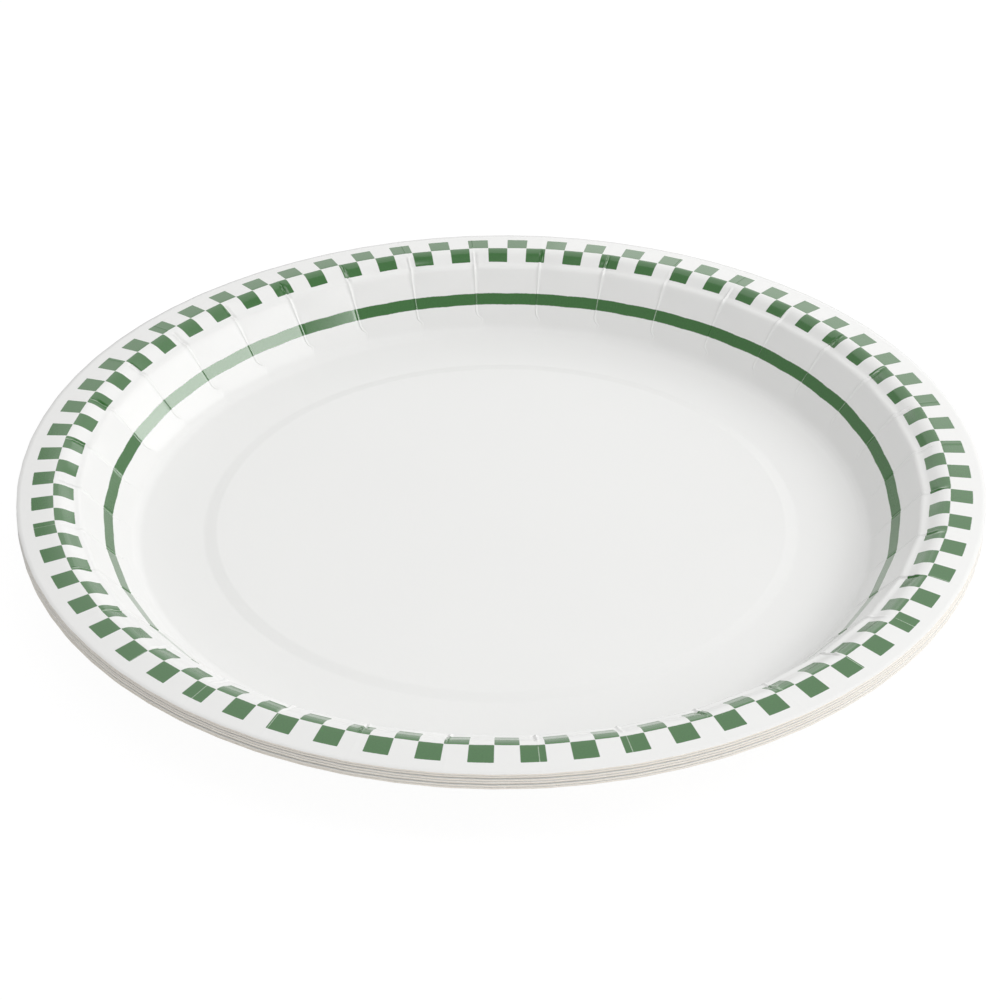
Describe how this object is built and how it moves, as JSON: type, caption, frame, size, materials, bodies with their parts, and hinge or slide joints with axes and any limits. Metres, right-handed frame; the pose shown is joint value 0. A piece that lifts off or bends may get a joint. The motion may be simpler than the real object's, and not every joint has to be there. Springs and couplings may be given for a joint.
{
  "type": "stack of paper plates",
  "caption": "Nested stack of round pressed paperboard plates with a scored, gathered wall, a flat brim and an embossed ring; holds food on the top plate and lifts off plate by plate.",
  "frame": {"origin": "centre of the round footprint, on the surface that the lowest plate rests on", "axes": "Z is the axis of the stack and points up; X is to the right and Y away from a viewer who looks along +Y"},
  "size_m": [0.2286, 0.2286, 0.0201],
  "materials": {
    "printed_board": "glossy clay-coated upper face, printed green",
    "lower_board": "coated upper face, uncoated pale underside"
  },
  "bodies": {
    "root": {"plate_1": "lower_board", "plate_2": "lower_board", "plate_3": "lower_board", "plate_4": "lower_board", "plate_5": "lower_board", "plate_6": "printed_board"}
  },
  "joints": []
}
